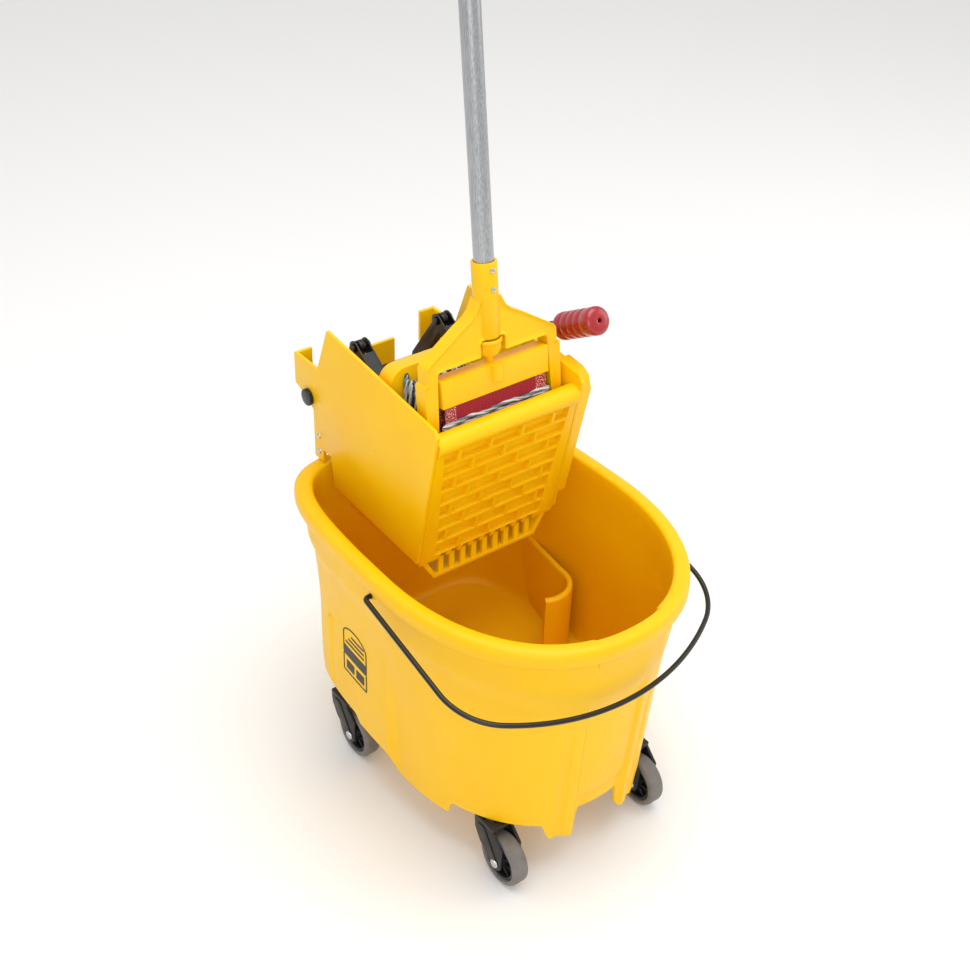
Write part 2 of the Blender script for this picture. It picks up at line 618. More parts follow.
def turned(name, profile, sides=64, axis=(1, 0, 0), start=(0, 0, 1)):
    """Spins a closed profile of (radius, along) about an axis through the origin."""
    axis, start = Vector(axis), Vector(start)
    points = [start * r + axis * a for r, a in profile]
    piece = add_mesh(name, points, [])
    only(piece)
    edit = bmesh.new()
    corners = [edit.verts.new(p) for p in points]
    for a, b in zip(corners, corners[1:] + corners[:1]):
        edit.edges.new((a, b))
    edit.to_mesh(piece.data)
    edit.free()
    bpy.ops.object.mode_set(mode="EDIT")
    bpy.ops.mesh.select_all(action="SELECT")
    bpy.ops.mesh.spin(steps=sides, angle=2 * math.pi, center=(0, 0, 0), axis=axis)
    bpy.ops.mesh.select_all(action="SELECT")
    bpy.ops.mesh.remove_doubles(threshold=0.00001)
    bpy.ops.mesh.normals_make_consistent(inside=False)
    bpy.ops.object.mode_set(mode="OBJECT")
    bpy.ops.object.shade_smooth_by_angle(angle=math.radians(40))
    return piece


def prism(name, outline_points, thickness, plane="yz", radius=0.0, steps=2):
    """A flat outline given thickness about its plane, with all its edges rounded."""
    if plane == "yz":
        points, push = [(-thickness / 2, a, b) for a, b in outline_points], (thickness, 0, 0)
    else:
        points, push = [(a, -thickness / 2, b) for a, b in outline_points], (0, thickness, 0)
    piece = add_mesh(name, points, [list(range(len(points)))])
    only(piece)
    bpy.ops.object.mode_set(mode="EDIT")
    bpy.ops.mesh.select_all(action="SELECT")
    bpy.ops.mesh.extrude_region_move(TRANSFORM_OT_translate={"value": push})
    bpy.ops.mesh.select_all(action="SELECT")
    bpy.ops.mesh.normals_make_consistent(inside=False)
    if radius:
        bpy.ops.mesh.select_mode(type="EDGE")
        bpy.ops.mesh.select_all(action="DESELECT")
        bpy.ops.mesh.edges_select_sharp(sharpness=math.radians(25))
        bpy.ops.mesh.bevel(offset=radius, segments=steps, affect="EDGES", clamp_overlap=True)
    bpy.ops.object.mode_set(mode="OBJECT")
    bpy.ops.object.shade_smooth_by_angle(angle=math.radians(40))
    return piece


def moved(piece, place):
    piece.data.transform(Matrix.Translation(place))
    return piece


def fork_piece():
    """The fork about its swivel axis, with the wheel's centre TRAIL in front of it."""
    cheek = [(0.0165, 0.087), (-0.0235, 0.087), (-TRAIL - 0.0128, 0.068)]
    cheek += [(-TRAIL + 0.0118 * math.cos(math.radians(a)), WHEEL_R + 0.0118 * math.sin(math.radians(a)))
              for a in range(180, 341, 20)]
    cheek += [(0.0040, 0.052), (0.0150, 0.070)]
    parts = [moved(prism("cheek", cheek, 0.0042, "yz", 0.0012), (s * 0.0149, 0, 0)) for s in (-1, 1)]
    rib = [(0.006, 0.085), (-0.006, 0.085), (-TRAIL - 0.003, WHEEL_R + 0.006),
           (-TRAIL + 0.004, WHEEL_R + 0.004)]
    parts += [moved(prism("rib", rib, 0.0018, "yz", 0.0006), (s * 0.0176, 0, 0)) for s in (-1, 1)]
    crown = [(0.0165, 0.0862), (0.0165, CROWN_TOP), (-0.0235, CROWN_TOP), (-0.0235, 0.0862)]
    parts.append(prism("crown", crown, 0.0345, "yz", 0.0016, 3))
    return joined(parts[0], parts[1:])


def hub_piece():
    """The hub about its own centre: a dished disc with eight ribs and a bored boss."""
    dish = [(HUB_R - 0.0002, -0.0085), (HUB_R - 0.0002, 0.0085), (HUB_R - 0.0008, 0.0092),
            (HUB_R - 0.0040, 0.0092),
            (HUB_R - 0.0052, 0.0030), (0.0125, 0.0022), (0.0110, 0.0060), (0.0100, 0.0118), (0.0092, 0.0120),
            (0.00405, 0.0120), (0.00405, -0.0120), (0.0092, -0.0120), (0.0100, -0.0118), (0.0110, -0.0060),
            (0.0125, -0.0022), (HUB_R - 0.0052, -0.0030), (HUB_R - 0.0040, -0.0092),
            (HUB_R - 0.0008, -0.0092)]
    parts = [turned("hub", dish, 72)]
    for k in range(8):
        rib = prism("rib", [(0.0095, -0.0009), (HUB_R - 0.0045, -0.0009), (HUB_R - 0.0045, 0.0009),
                            (0.0095, 0.0009)],
                    0.0150, "yz", 0.0004, 1)
        rib.data.transform(Matrix.Rotation(math.pi * k / 4, 4, "X"))
        parts.append(rib)
    return joined(parts[0], parts[1:])


def tread_piece():
    crown = [(WHEEL_R - 0.0052 * (1 - math.cos(math.radians(a))) - 0.0002,
              -0.0068 + 0.0052 * math.sin(math.radians(a))) for a in range(-90, 1, 15)]
    crown += [(r, -a) for r, a in crown[::-1]]
    crown = [(HUB_R, -0.0098), (WHEEL_R - 0.0078, -0.0120)] + crown + [(WHEEL_R - 0.0078, 0.0120),
                                                                       (HUB_R, 0.0098)]
    return turned("tread", crown, 96)


for corner in CORNERS:
    stem, wheel = middle(f"caster_stem_{corner}"), middle(f"caster_tread_{corner}")
    fork = moved(fork_piece(), (stem.x, stem.y, 0))
    fork.name = f"fork_{corner}"
    finished(fork, nylon, f"fork_{corner}", "caster_black", f"caster_fork_{corner}")
    hub = moved(hub_piece(), wheel)
    hub.name = f"hub_{corner}"
    finished(hub, nylon, f"wheel_{corner}", "caster_black", f"caster_hub_{corner}")
    tread = moved(tread_piece(), wheel)
    tread.name = f"tread_{corner}"
    finished(tread, rubber, f"wheel_{corner}", "tread_grey", f"caster_tread_{corner}")
    rivet = [(0.00395, -0.0203), (0.00395, -0.0176), (0.0062, -0.0174), (0.0068, -0.0180), (0.0062, -0.0196),
             (0.0040, -0.0204), (0.0001, -0.0206), (0.0001, 0.0206), (0.0040, 0.0204), (0.0062, 0.0196),
             (0.0068, 0.0180), (0.0062, 0.0174), (0.00395, 0.0176)]
    axle = moved(turned("axle", rivet[1:], 40), wheel)
    axle.name = f"axle_{corner}"
    finished(axle, zinc, f"fork_{corner}", "zinc_screws", f"caster_axle_{corner}")
    stem_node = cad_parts[f"caster_stem_{corner}"]
    stem_node.data.materials.clear()
    stem_node.data.materials.append(zinc)

# ---- Wringer shell ----
# Two moulded side panels, a leaning front grille with brick pockets and a drip comb, a trough
# under the press and a rear wall with a raised tongue. All are the bucket's plastic, edge-rounded.
wringer_plastic = moulded_plastic("wringer_polypropylene", "#f8c400", "#f4b800", gloss=0.32)
for node_name, piece_name, radius in [("panel_left", "left_panel", 0.0022),
                                      ("panel_right", "right_panel", 0.0022),
                                      ("front_grille", "brick_grille", 0.0004),
                                      ("wringer_floor", "drip_trough", 0.0010),
                                      ("rear_wall", "rear_wall_moulding", 0.0020),
                                      ("guide_rails", "rails", 0.0010)]:
    finished(moulded_copy(node_name, piece_name, radius), wringer_plastic, "wringer", "wringer_plastic",
             node_name)
nylon_bush, tree, shader = new_material("white_acetal", Base_Color=linear("#e6e2d4"), Roughness=0.38)
frost = node(tree, "ShaderNodeTexNoise", {}, {"Vector": node(tree, "ShaderNodeTexCoord").outputs["Object"],
                                              "Scale": 500.0})
bump = node(tree, "ShaderNodeBump", {}, {"Height": frost.outputs["Fac"], "Strength": 0.1, "Distance": 0.0003})
tree.links.new(bump.outputs["Normal"], shader.inputs["Normal"])
finished(moulded_copy("shaft_bushes", "acetal_bushes", 0.0003, 0.0001), nylon_bush, "wringer", "bush_nylon",
         "shaft_bushes")


def screw_heads(name, places, radius, out, axis):
    """Domed heads with a cross recess, at places; out is the way the heads face."""
    heads = []
    for place, facing in places:
        dome = [(0.0002, -0.0008), (radius, -0.0008), (radius, 0), (radius * 0.86, out * 0.5),
                (radius * 0.5, out * 0.9),
                (0.0002, out)]
        head = turned("head", dome, 28, axis=axis)
        if facing < 0:
            head.data.transform(Matrix.Diagonal((*[-1 if a else 1 for a in axis], 1)))
            head.data.flip_normals()
        heads.append(moved(head, place))
    made = joined(heads[0], heads[1:])
    made.name = name
    return made


screw_low, screw_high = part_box("wringer_screws")
panel_places = [(Vector((x, (screw_low.y + screw_high.y) / 2, z)), 1 if x > 0 else -1)
                for x in (screw_low.x + 0.0024, screw_high.x - 0.0024)
                for z in (screw_low.z + 0.004, screw_high.z - 0.004)]
finished(screw_heads("panel_screws", panel_places, 0.004, 0.0022, (1, 0, 0)), zinc, "wringer",
         "zinc_screws", "wringer_screws")

# ---- Lever, cranks and grip ----
# Black powder-coated steel: a shaft across the panels, two cranks, a hub that carries the tubular
# lever on the right, and a glossy red vinyl grip dipped over the lever's end.
coat, tree, shader = new_material("black_powder_coat", Base_Color=linear("#0d0b0c"), IOR=1.5)
place = node(tree, "ShaderNodeTexCoord").outputs["Object"]
orange_peel = node(tree, "ShaderNodeTexNoise", {}, {"Vector": place, "Scale": 480.0, "Detail": 2.0})
bump = node(tree, "ShaderNodeBump", {}, {"Height": orange_peel.outputs["Fac"], "Strength": 0.3,
                                         "Distance": 0.0004})
tree.links.new(bump.outputs["Normal"], shader.inputs["Normal"])
patch = node(tree, "ShaderNodeTexNoise", {}, {"Vector": place, "Scale": 30.0, "Detail": 4.0})
matt = node(tree, "ShaderNodeMapRange", {}, {"Value": patch.outputs["Fac"], "To Min": 0.24, "To Max": 0.5})
tree.links.new(matt.outputs["Result"], shader.inputs["Roughness"])
for node_name, piece_name, radius, slot in [
        ("crank_arms", "cranks", 0.0010, "black_steel"), ("lever_hub", "lever_boss", 0.0012, "black_steel"),
        ("lever_tube", "lever_bar", 0.0004, "black_steel"),
        ("crank_shaft", "cross_shaft", 0.0008, "black_steel"),
        ("shaft_cap", "shaft_end_cap", 0.0015, "black_plastic"),
        ("crank_pins", "crank_pivots", 0.0006, "black_steel")]:
    shortest = 0.002 if node_name == "lever_hub" else 0.0001
    finished(moulded_copy(node_name, piece_name, radius, shortest), coat, "lever", slot, node_name)

grip_low, grip_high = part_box("lever_grip")
shaft = middle("shaft_cap")
lever_x = (grip_low.x + grip_high.x) / 2
LEVER_LEN, GRIP_R, TUBE_R = 0.320, 0.0188, 0.0095
GRIP_LEN = 0.080
RISE = math.radians(30)
grip_start = LEVER_LEN - GRIP_LEN
profile = [(TUBE_R + 0.0001, grip_start + 0.0005), (0.0150, grip_start), (0.0172, grip_start + 0.0012),
           (0.0185, grip_start + 0.0040), (0.0188, grip_start + 0.0080)]
for k in range(6):
    ring = grip_start + 0.014 + 0.0135 * k
    if ring + 0.006 < LEVER_LEN - 0.012:
        profile += [(GRIP_R - 0.0003, ring), (GRIP_R - 0.0014, ring + 0.0016),
                    (GRIP_R - 0.0014, ring + 0.0032),
                    (GRIP_R - 0.0003, ring + 0.0048)]
profile += [(GRIP_R - 0.0060 * (1 - math.cos(math.radians(a))),
             LEVER_LEN - 0.0075 + 0.0060 * math.sin(math.radians(a)))
            for a in range(0, 76, 15)]
profile += [(0.0120, LEVER_LEN - 0.0006), (0.0060, LEVER_LEN), (0.0034, LEVER_LEN - 0.0004),
            (0.0028, LEVER_LEN - 0.0014),
            (0.0028, LEVER_LEN - 0.0060), (TUBE_R + 0.0001, LEVER_LEN - 0.0062)]
grip = turned("vinyl_grip", profile, 72, axis=(0, 0, 1), start=(1, 0, 0))
grip.data.transform(Matrix.Translation((lever_x, shaft.y, shaft.z)) @ Matrix.Rotation(math.pi / 2 - RISE, 4,
                                                                                      "X"))
# Dipped vinyl: smooth and wet-looking, a deep red that is a little darker in the grooves.
vinyl, tree, shader = new_material("red_dipped_vinyl", Base_Color=linear("#a00d18"), IOR=1.54,
                                   Coat_Weight=0.5,
                                   Coat_Roughness=0.12)
wave = node(tree, "ShaderNodeTexNoise", {}, {"Vector": node(tree, "ShaderNodeTexCoord").outputs["Object"],
                                             "Scale": 120.0})
bump = node(tree, "ShaderNodeBump", {}, {"Height": wave.outputs["Fac"], "Strength": 0.15, "Distance": 0.0006})
tree.links.new(bump.outputs["Normal"], shader.inputs["Normal"])
matt = node(tree, "ShaderNodeMapRange", {}, {"Value": wave.outputs["Fac"], "To Min": 0.22, "To Max": 0.36})
tree.links.new(matt.outputs["Result"], shader.inputs["Roughness"])
finished(grip, vinyl, "lever", "grip_vinyl", "lever_grip")

# ---- Press plate and links ----
# A ribbed moulded plate with a deep flange slides back on the rails; two pressed-steel channels
# with riveted pins pull it from the cranks.
press = moulded_copy("press_plate", "pressing_plate", 0.0014)
finished(press, wringer_plastic, "press", "wringer_plastic", "press_plate")
finished(moulded_copy("press_links", "link_channels", 0.0006), coat, "links", "black_steel", "press_links")
finished(moulded_copy("link_pins", "link_rivets", 0.0005, 0.0001), zinc, "links", "zinc_screws", "link_pins")

# ---- Mop clamp: yoke, socket, nut and bar ----
# A yellow polypropylene yoke stands astride the mop head; its socket grips the handle tube with
# two screws, and a knurled nut draws a bar up between its legs to pinch the headband.
MOP_LEAN = math.radians(7.5)
mop_axis = Vector((0, math.sin(MOP_LEAN), math.cos(MOP_LEAN)))
NUT_MIDDLE = 0.063
MOP_FOOT = middle("thumb_nut") - mop_axis * NUT_MIDDLE
on_mop = Matrix.Translation(MOP_FOOT) @ Matrix.Rotation(-MOP_LEAN, 4, "X")
YOKE_HALF, LEG_W, YOKE_D = 0.099, 0.015, 0.022
BAR_LOW, BAR_TOP, WINDOW_TOP = 0.007, 0.043, 0.055
SOCKET_R, SOCKET_TOP = 0.016, 0.172
clamp_plastic = moulded_plastic("clamp_polypropylene", "#f8c400", "#f4b800", gloss=0.30)


def to_mop(piece):
    """Takes a piece from the mop's own upright frame to its place."""
    piece.data.transform(on_mop)
    return piece


def bend_round(centre, radius, start, end, steps=5):
    """Points of a small round corner in the yoke's face."""
    return [(centre[0] + radius * math.cos(math.radians(start + (end - start) * i / steps)),
             centre[1] + radius * math.sin(math.radians(start + (end - start) * i / steps)))
            for i in range(steps + 1)]


WINDOW_R = 0.0058
inner_x = YOKE_HALF - LEG_W
right_half = [(inner_x + 0.005, -0.046), (YOKE_HALF + 0.005, -0.046), (YOKE_HALF + 0.005, BAR_TOP - 0.002)]
right_half += [(YOKE_HALF, BAR_TOP), (YOKE_HALF, 0.056),
               *bend_round((YOKE_HALF - 0.010, 0.058), 0.010, 0, 58)]
right_half += [(0.045, 0.098), (0.030, 0.106), (0.022, 0.114), (SOCKET_R - 0.001, 0.128)]
POCKET_HALF, POCKET_TOP = 0.0190, 0.0755
window = [(POCKET_HALF - 0.003, POCKET_TOP), (POCKET_HALF, POCKET_TOP - 0.003), (POCKET_HALF, WINDOW_TOP)]
window += bend_round((inner_x - WINDOW_R, WINDOW_TOP - WINDOW_R), WINDOW_R, 90, 0)
face = window + right_half
face = face + [(-x, z) for x, z in face[::-1]]
plate = prism("yoke_plate", face, YOKE_D, "xz")
only(plate)
bpy.ops.object.mode_set(mode="EDIT")
bpy.ops.mesh.select_mode(type="FACE")
for facing in (-1, 1):
    edit = bmesh.from_edit_mesh(plate.data)
    for f in edit.faces:
        f.select = len(f.verts) > 8 and f.normal.y * facing > 0.9
    bmesh.update_edit_mesh(plate.data)
    bpy.ops.mesh.inset(thickness=0.0045, depth=-0.0030)
bpy.ops.mesh.select_all(action="DESELECT")
bpy.ops.mesh.select_mode(type="EDGE")
bpy.ops.mesh.edges_select_sharp(sharpness=math.radians(25))
bpy.ops.mesh.bevel(offset=0.0011, segments=3, affect="EDGES", clamp_overlap=True)
bpy.ops.object.mode_set(mode="OBJECT")
bpy.ops.object.shade_smooth_by_angle(angle=math.radians(40))
TUBE_R, TUBE_FOOT = 0.0125, 0.128
socket = [(TUBE_R + 0.0001, 0.127), (TUBE_R + 0.0001, SOCKET_TOP - 0.0008), (TUBE_R + 0.0009, SOCKET_TOP),
          (SOCKET_R - 0.0010, SOCKET_TOP), (SOCKET_R - 0.0003, SOCKET_TOP - 0.0004),
          (SOCKET_R, SOCKET_TOP - 0.0014),
          (SOCKET_R, 0.140), (SOCKET_R - 0.0006, 0.077), (SOCKET_R - 0.0018, 0.0755), (0.0052, 0.0755),
          (0.0052, 0.127)]
column = turned("socket", socket, 72, axis=(0, 0, 1), start=(1, 0, 0))
yoke = to_mop(joined(plate, [column]))
yoke.name = "clamp_yoke"
finished(yoke, clamp_plastic, "mop", "clamp_plastic", "mop_yoke")

# The nut: 26 knurls below a flared finger ring
NUT_LOW, NUT_TOP, NUT_R, KNURLS = 0.0523, 0.0737, 0.0178, 26
sides = KNURLS * 8
rings = [(0.0052, NUT_LOW, 0), (0.0100, NUT_LOW, 0), (0.0122, NUT_LOW + 0.0008, 0.3),
         (0.0136, NUT_LOW + 0.0050, 1),
         (0.0150, NUT_LOW + 0.0075, 1), (0.0153, NUT_TOP - 0.0080, 1), (0.0156, NUT_TOP - 0.0062, 0.4),
         (0.0168, NUT_TOP - 0.0052, 0), (0.0176, NUT_TOP - 0.0040, 0), (NUT_R, NUT_TOP - 0.0020, 0),
         (0.0174, NUT_TOP - 0.0006, 0), (0.0166, NUT_TOP, 0), (0.0148, NUT_TOP - 0.0002, 0),
         (0.0140, NUT_TOP - 0.0016, 0),
         (0.0052, NUT_TOP - 0.0018, 0)]
points = [((r + 0.0007 * k * math.cos(2 * math.pi * KNURLS * i / sides)) * math.cos(2 * math.pi * i / sides),
           (r + 0.0007 * k * math.cos(2 * math.pi * KNURLS * i / sides)) * math.sin(2 * math.pi * i / sides), z)
          for r, z, k in rings for i in range(sides)]
faces = [(a * sides + i, a * sides + (i + 1) % sides, b * sides + (i + 1) % sides, b * sides + i)
         for a, b in zip(range(len(rings)), [*range(1, len(rings)), 0]) for i in range(sides)]
nut = add_mesh("knurled_nut", points, faces)
only(nut)
bpy.ops.object.mode_set(mode="EDIT")
bpy.ops.mesh.select_all(action="SELECT")
bpy.ops.mesh.normals_make_consistent(inside=False)
bpy.ops.object.mode_set(mode="OBJECT")
bpy.ops.object.shade_smooth_by_angle(angle=math.radians(35))
finished(to_mop(nut), clamp_plastic, "nut", "clamp_plastic", "thumb_nut")
finished(moulded_copy("clamp_bar", "pinch_bar", 0.0013), clamp_plastic, "clamp", "clamp_plastic", "clamp_bar")
bpy.context.view_layer.update()
SCREW_HEIGHTS = (0.139, 0.163)
heads = []
for height in SCREW_HEIGHTS:
    dome = [(0.0002, -0.0006), (0.0030, -0.0006), (0.0034, 0.0004), (0.0031, 0.0012), (0.0022, 0.0017),
            (0.0010, 0.0018), (0.0009, 0.0009), (0.0002, 0.0009)]
    head = turned("screw", dome, 32, axis=(0, -1, 0), start=(1, 0, 0))
    heads.append(moved(head, (0, -SOCKET_R - 0.0002, height)))
screws = to_mop(joined(heads[0], heads[1:]))
screws.name = "socket_screw_heads"
finished(screws, zinc, "mop", "zinc_screws", "socket_screws")

# ---- Handle tube and its cap ----
# A drawn and anodised aluminium tube, 25 mm across and 1.2 mm in the wall, with fine lengthwise
# draw lines; a moulded cap with a hanging eye plugs its top.
TUBE_WALL, TUBE_TOP = 0.0012, 1.334
wall = [(TUBE_R, TUBE_FOOT), (TUBE_R, TUBE_TOP - 0.0003), (TUBE_R - 0.0003, TUBE_TOP),
        (TUBE_R - TUBE_WALL, TUBE_TOP), (TUBE_R - TUBE_WALL, TUBE_FOOT)]
tube_piece = to_mop(turned("handle_tube", wall, 64, axis=(0, 0, 1), start=(1, 0, 0)))
aluminium, tree, shader = new_material("drawn_aluminium", Metallic=1.0)
place = node(tree, "ShaderNodeTexCoord").outputs["Object"]
stretched = node(tree, "ShaderNodeMapping", {}, {"Vector": place})
stretched.inputs["Rotation"].default_value = (MOP_LEAN, 0, 0)
stretched.inputs["Scale"].default_value = (1500, 1500, 6)
drawn = node(tree, "ShaderNodeTexNoise", {}, {"Vector": stretched.outputs["Vector"], "Scale": 1.0,
                                              "Detail": 3.0})
shade = node(tree, "ShaderNodeValToRGB", {}, {"Fac": drawn.outputs["Fac"]})
shade.color_ramp.elements[0].position, shade.color_ramp.elements[1].position = 0.3, 0.7
shade.color_ramp.elements[0].color = linear("#9c9ea1")
shade.color_ramp.elements[1].color = linear("#c6c8ca")
tree.links.new(shade.outputs["Color"], shader.inputs["Base Color"])
polish = node(tree, "ShaderNodeMapRange", {}, {"Value": drawn.outputs["Fac"], "To Min": 0.22, "To Max": 0.40})
tree.links.new(polish.outputs["Result"], shader.inputs["Roughness"])
finished(tube_piece, aluminium, "mop", "handle_aluminium", "mop_tube")
finished(moulded_copy("mop_cap", "handle_cap", 0.0010, 0.0002), clamp_plastic, "mop", "clamp_plastic",
         "mop_cap")

# ---- Headband ----
# A crimson polyester leno-weave strip, 156 mm wide, folded down round the heads of the strands
# and pinched under the bar. White stitches lock its ends.
BAND_HALF, BAND_FRONT, BAND_BACK, BAND_FOOT = 0.078, -0.0113, 0.0093, -0.0433
BAND_THICK = 0.0012
fold = [(BAND_FRONT, BAR_LOW - 0.0009)]
fold += [(BAND_FRONT + 0.0006 * math.sin(math.pi * i / 6), BAR_LOW - 0.0009 - 0.0405 * i / 6)
         for i in range(1, 7)]
half_way = (BAND_FRONT + BAND_BACK) / 2
fold += [(half_way - (BAND_BACK - BAND_FRONT) / 2 * math.cos(math.pi * i / 8),
          BAND_FOOT + 0.0098 - 0.0092 * math.sin(math.pi * i / 8)) for i in range(1, 8)]
fold += [(BAND_BACK - 0.0006 * math.sin(math.pi * i / 6), -0.0344 + 0.0405 * i / 6) for i in range(7)]
columns = 60
points, faces = [], []
run = 0.0
runs = [0.0]
for a, b in zip(fold, fold[1:]):
    runs.append(runs[-1] + math.dist(a, b))
for c in range(columns + 1):
    x = -BAND_HALF + 2 * BAND_HALF * c / columns
    for y, z in fold:
        ripple = 0.0004 * math.sin(c * 0.9 + z * 220)
        points.append((x, y + ripple * (1 if y > 0 else -1) * 0.6, z))
for c in range(columns):
    for k in range(len(fold) - 1):
        i = c * len(fold) + k
        faces.append((i, i + 1, i + 1 + len(fold), i + len(fold)))
band = add_mesh("headband_mesh", points, faces)
weave_map = band.data.uv_layers.new(name="weave")
for loop in band.data.loops:
    c, k = divmod(loop.vertex_index, len(fold))
    weave_map.data[loop.index].uv = (2 * BAND_HALF * c / columns, runs[k])
only(band)
thick = band.modifiers.new("cloth", "SOLIDIFY")
thick.thickness = BAND_THICK
thick.offset = 0
bpy.ops.object.modifier_apply(modifier="cloth")
bpy.ops.object.shade_smooth_by_angle(angle=math.radians(60))
# Leno mesh: crimson yarn in 2.2 mm cells with darker holes, and pale stitches near both ends.
leno, tree, shader = new_material("crimson_leno_mesh", Roughness=0.78)
uv = node(tree, "ShaderNodeUVMap", {"uv_map": "weave"}).outputs["UV"]
cells = node(tree, "ShaderNodeTexVoronoi", {"distance": "CHEBYCHEV"},
             {"Vector": uv, "Scale": 450.0, "Randomness": 0.25})
holes = node(tree, "ShaderNodeValToRGB", {}, {"Fac": cells.outputs["Distance"]})
holes.color_ramp.elements[0].position, holes.color_ramp.elements[1].position = 0.18, 0.55
holes.color_ramp.elements[0].color = linear("#5a0a14")
holes.color_ramp.elements[1].color = linear("#c81a34")
across = node(tree, "ShaderNodeSeparateXYZ", {}, {"Vector": uv})
edge_far = node(tree, "ShaderNodeMath", {"operation": "PINGPONG"}, {0: across.outputs["X"], 1: BAND_HALF})
near_edge = node(tree, "ShaderNodeMath", {"operation": "LESS_THAN"}, {0: edge_far.outputs["Value"], 1: 0.016})
zigzag = node(tree, "ShaderNodeTexNoise", {}, {"Vector": uv, "Scale": 620.0, "Detail": 1.0})
thread = node(tree, "ShaderNodeMath", {"operation": "GREATER_THAN"}, {0: zigzag.outputs["Fac"], 1: 0.57})
stitch = node(tree, "ShaderNodeMath", {"operation": "MULTIPLY"},
              {0: near_edge.outputs["Value"], 1: thread.outputs["Value"]})
stitched = node(tree, "ShaderNodeMixRGB", {}, {"Fac": stitch.outputs["Value"],
                                               "Color1": holes.outputs["Color"],
                                               "Color2": linear("#e9b9b4")})
tree.links.new(stitched.outputs["Color"], shader.inputs["Base Color"])
bump = node(tree, "ShaderNodeBump", {}, {"Height": cells.outputs["Distance"], "Strength": 0.7,
                                         "Distance": 0.0008})
tree.links.new(bump.outputs["Normal"], shader.inputs["Normal"])
finished(to_mop(band), leno, "mop", "headband_mesh", "headband")

# ---- Strands ----
# Looped-end mop yarn, three plies twisted to about 5.5 mm, in blended white, teal, navy and grey.
# The wet bundle hangs squeezed between grille and press, and loops back up behind the yoke.
STRAND_R = 0.0027
draw = random.Random(7)
PLY_SIDES, TURN_LENGTH = 12, 0.017
PLY_TINTS = (0.0, 0.31, 0.62)
END_SHRINK = 0.35


def strand_section(at, phase):
    """A three-lobed ring, turned a little further at each step."""
    turn = phase + 2 * math.pi * at / TURN_LENGTH
    ring = []
    for k in range(PLY_SIDES):
        a = 2 * math.pi * k / PLY_SIDES
        r = STRAND_R * (0.80 + 0.22 * math.cos(3 * (a - turn)))
        ring.append((r * math.cos(a), r * math.sin(a)))
    return ring


def smooth_line(points, step=0.0035):
    """A Catmull-Rom line through points, cut at even steps."""
    points = [Vector(p) for p in points]
    padded = [points[0] * 2 - points[1], *points, points[-1] * 2 - points[-2]]
    line = []
    for p0, p1, p2, p3 in zip(padded, padded[1:], padded[2:], padded[3:]):
        cuts = max(2, round((p2 - p1).length / step))
        for i in range(cuts):
            t = i / cuts
            line.append(0.5 * (2 * p1 + (p2 - p0) * t + (2 * p0 - 5 * p1 + 4 * p2 - p3) * t * t
                               + (3 * p1 - p0 - 3 * p2 + p3) * t * t * t))
    return line + [points[-1]]


def strands(name, routes):
    """Twisted strands along routes, with each ply's colour kept on the mesh."""
    points, faces, tints = [], [], []
    for route in routes:
        line = smooth_line(route)
        phase = draw.uniform(0, 6.28)
        base = draw.random()
        side, at = None, 0.0
        first = len(points)
        for i, p in enumerate(line):
            run = (line[min(i + 1, len(line) - 1)] - line[max(i - 1, 0)]).normalized()
            side = run.orthogonal().normalized() if side is None else side
            side = (side - run * side.dot(run)).normalized()
            other = run.cross(side)
            at += (p - line[i - 1]).length if i else 0
            shrink = END_SHRINK if i in (0, len(line) - 1) else 1
            turn = 2 * math.pi * at / TURN_LENGTH / 3
            for k, (u, v) in enumerate(strand_section(at / 3, phase)):
                points.append(p + (side * u + other * v) * shrink)
                lobe = math.floor(((2 * math.pi * k / PLY_SIDES - phase - turn) / (2 * math.pi / 3)) + 0.5) % 3
                tints.append((base + PLY_TINTS[lobe]) % 1.0)
        rings_here = len(line)
        for i in range(rings_here - 1):
            for k in range(PLY_SIDES):
                a, b = first + i * PLY_SIDES, first + (i + 1) * PLY_SIDES
                faces.append((a + k, a + (k + 1) % PLY_SIDES, b + (k + 1) % PLY_SIDES, b + k))
        faces.append([first + k for k in range(PLY_SIDES)][::-1])
        faces.append([first + (rings_here - 1) * PLY_SIDES + k for k in range(PLY_SIDES)])
    piece = add_mesh(name, points, faces)
    tint = piece.data.attributes.new("ply", "FLOAT", "POINT")
    tint.data.foreach_set("value", tints)
    only(piece)
    bpy.ops.object.shade_smooth()
    return piece


def chamber_front(z):
    """The nearest a strand's middle may lie to the grille at height z, over the bucket's middle."""
    return 0.0195 + (0.597 - z) * 0.19


def chamber_back(z):
    return 0.1075 - (0.636 - z) * 0.2126


def in_chamber(x, share, z):
    """A place in the squeezed bundle: share runs from 0 at the grille to 1 at the press."""
    y = chamber_front(z) + (chamber_back(z) - chamber_front(z)) * share
    return Vector((x, y + MID_Y, z))


routes = []
for row in range(7):
    share = 0.05 + 0.15 * row
    for column in range(18):
        x = -0.0875 + 0.175 * (column + 0.5 * (row % 2)) / 17.5
        x = max(-0.089, min(0.089, x + draw.uniform(-0.002, 0.002)))
        top = 0.556 if share < 0.5 else 0.590
        way = [in_chamber(x * 0.9 if share < 0.5 else x, min(0.9, share), top)]
        for z in (0.530, 0.490, 0.450, 0.420):
            way.append(in_chamber(x + draw.uniform(-0.0025, 0.0025),
                                  min(0.97, max(0.02, share + draw.uniform(-0.04, 0.04))), z))
        foot = draw.uniform(0.400, 0.408)
        way.append(in_chamber(x, min(0.9, max(0.1, share)), foot))
        routes.append(way)
hanging = strands("mop_strands", routes)

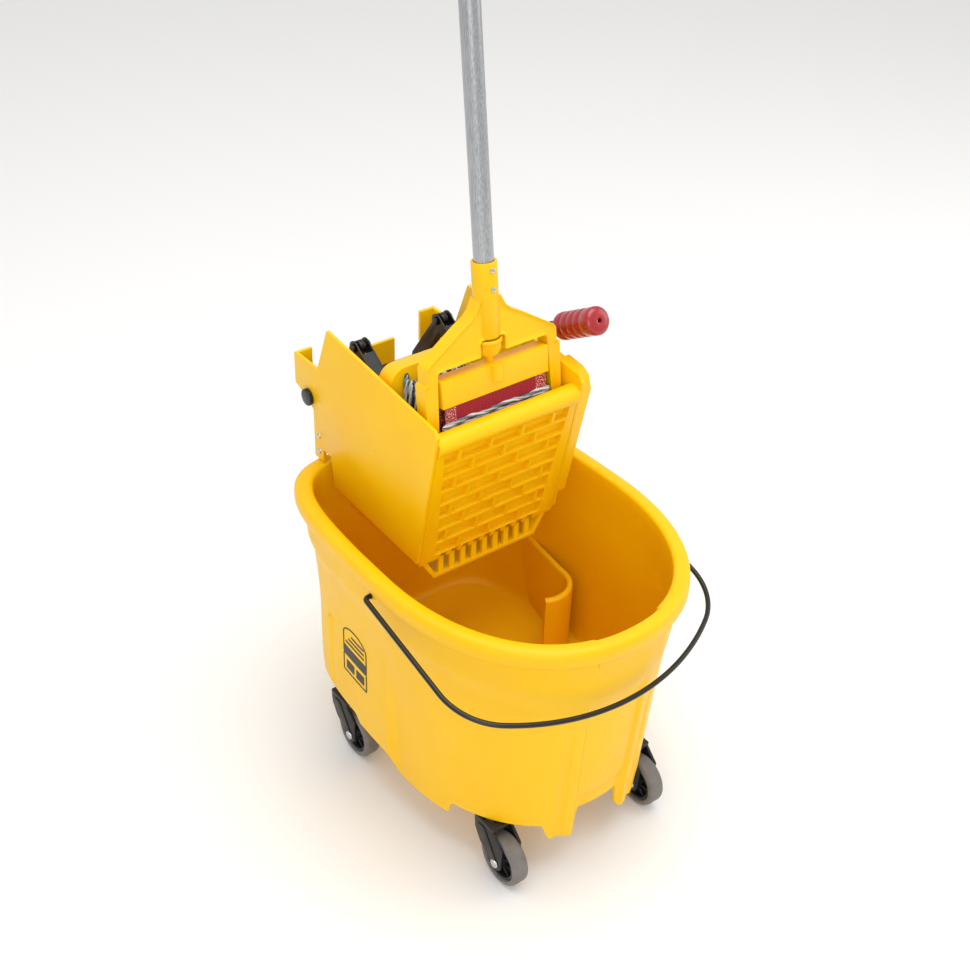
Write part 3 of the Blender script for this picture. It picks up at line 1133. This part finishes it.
# Loops that stand up behind the yoke, higher at the left
routes = []
for column in range(26):
    x = -0.086 + 0.172 * column / 25 + draw.uniform(-0.0015, 0.0015)
    lift = 0.634 - 0.004 * draw.random() - 0.030 * ease(-0.010, 0.060, x)
    for layer, (front_y, back_y) in enumerate(((0.068, 0.084), (0.080, 0.098))):
        crest = lift - 0.0050 * layer - 0.004 * draw.random()
        sway = draw.uniform(-0.005, 0.005)
        routes.append([(x, front_y - 0.004 + MID_Y, 0.575), (x + sway / 2, front_y + MID_Y, crest - 0.022),
                       (x + sway, front_y + 0.003 + MID_Y, crest - 0.007),
                       (x + sway, (front_y + back_y) / 2 + MID_Y, crest),
                       (x + sway * 1.4, back_y - 0.002 + MID_Y, crest - 0.009),
                       (x + sway * 1.5, back_y - 0.003 + MID_Y, crest - 0.030),
                       (x + sway, back_y - 0.012 + MID_Y, 0.575)])
loops = strands("upper_loops", routes)

# Strands pressed along the grille's roll, and a tuft beside the left leg
routes = []
for layer, (y, z) in enumerate(((0.0262, 0.5955), (0.0270, 0.5905), (0.0248, 0.5750), (0.0255, 0.5700))):
    way = []
    for k in range(9):
        x = -0.084 + 0.168 * k / 8
        way.append((x, y + MID_Y + draw.uniform(-0.0006, 0.0006), z + draw.uniform(-0.0012, 0.0012)))
    routes.append(way)
for k in range(14):
    x = -0.0925 + draw.uniform(0.0, 0.008)
    y = 0.047 + 0.0042 * k
    crest = min(0.616 + 0.0012 * k, 0.628) + draw.uniform(-0.003, 0.003)
    routes.append([(x, y + MID_Y, 0.560), (x + draw.uniform(-0.001, 0.003), y + 0.001 + MID_Y, crest - 0.016),
                   (x + 0.004, y + 0.003 + MID_Y, crest), (x + 0.008, y + 0.006 + MID_Y, crest - 0.012),
                   (x + 0.006, y + 0.008 + MID_Y, 0.570)])
pressed = strands("pressed_strands", routes)
# Wet blended yarn: each ply one of four tones, fuzzed by fine fibre and darkened low down.
yarn, tree, shader = new_material("blended_mop_yarn", Roughness=0.72)
ply = node(tree, "ShaderNodeAttribute", {"attribute_name": "ply"})
tones = node(tree, "ShaderNodeValToRGB", {}, {"Fac": ply.outputs["Fac"]})
tones.color_ramp.interpolation = "CONSTANT"
tones.color_ramp.elements[0].color = linear("#dfe3e2")
tones.color_ramp.elements[1].position = 0.30
tones.color_ramp.elements[1].color = linear("#5f8388")
for at, tone in ((0.46, "#26303f"), (0.64, "#b9c0c2"), (0.82, "#4a4f57")):
    tones.color_ramp.elements.new(at).color = linear(tone)
place = node(tree, "ShaderNodeTexCoord").outputs["Object"]
fibre = node(tree, "ShaderNodeTexNoise", {}, {"Vector": place, "Scale": 1400.0, "Detail": 3.0})
fibre_tone = node(tree, "ShaderNodeMapRange", {},
                  {"Value": fibre.outputs["Fac"], "To Min": 0.62, "To Max": 1.12})
blended = node(tree, "ShaderNodeMixRGB", {"blend_type": "MULTIPLY"},
               {"Fac": 1.0, "Color1": tones.outputs["Color"],
                                                                     "Color2": fibre_tone.outputs["Result"]})
tree.links.new(blended.outputs["Color"], shader.inputs["Base Color"])
bump = node(tree, "ShaderNodeBump", {}, {"Height": fibre.outputs["Fac"], "Strength": 0.8, "Distance": 0.0006})
tree.links.new(bump.outputs["Normal"], shader.inputs["Normal"])
for piece in (hanging, loops, pressed):
    finished(piece, yarn, "mop", "mop_yarn", *(["mop_yarn"] if piece is hanging else []))
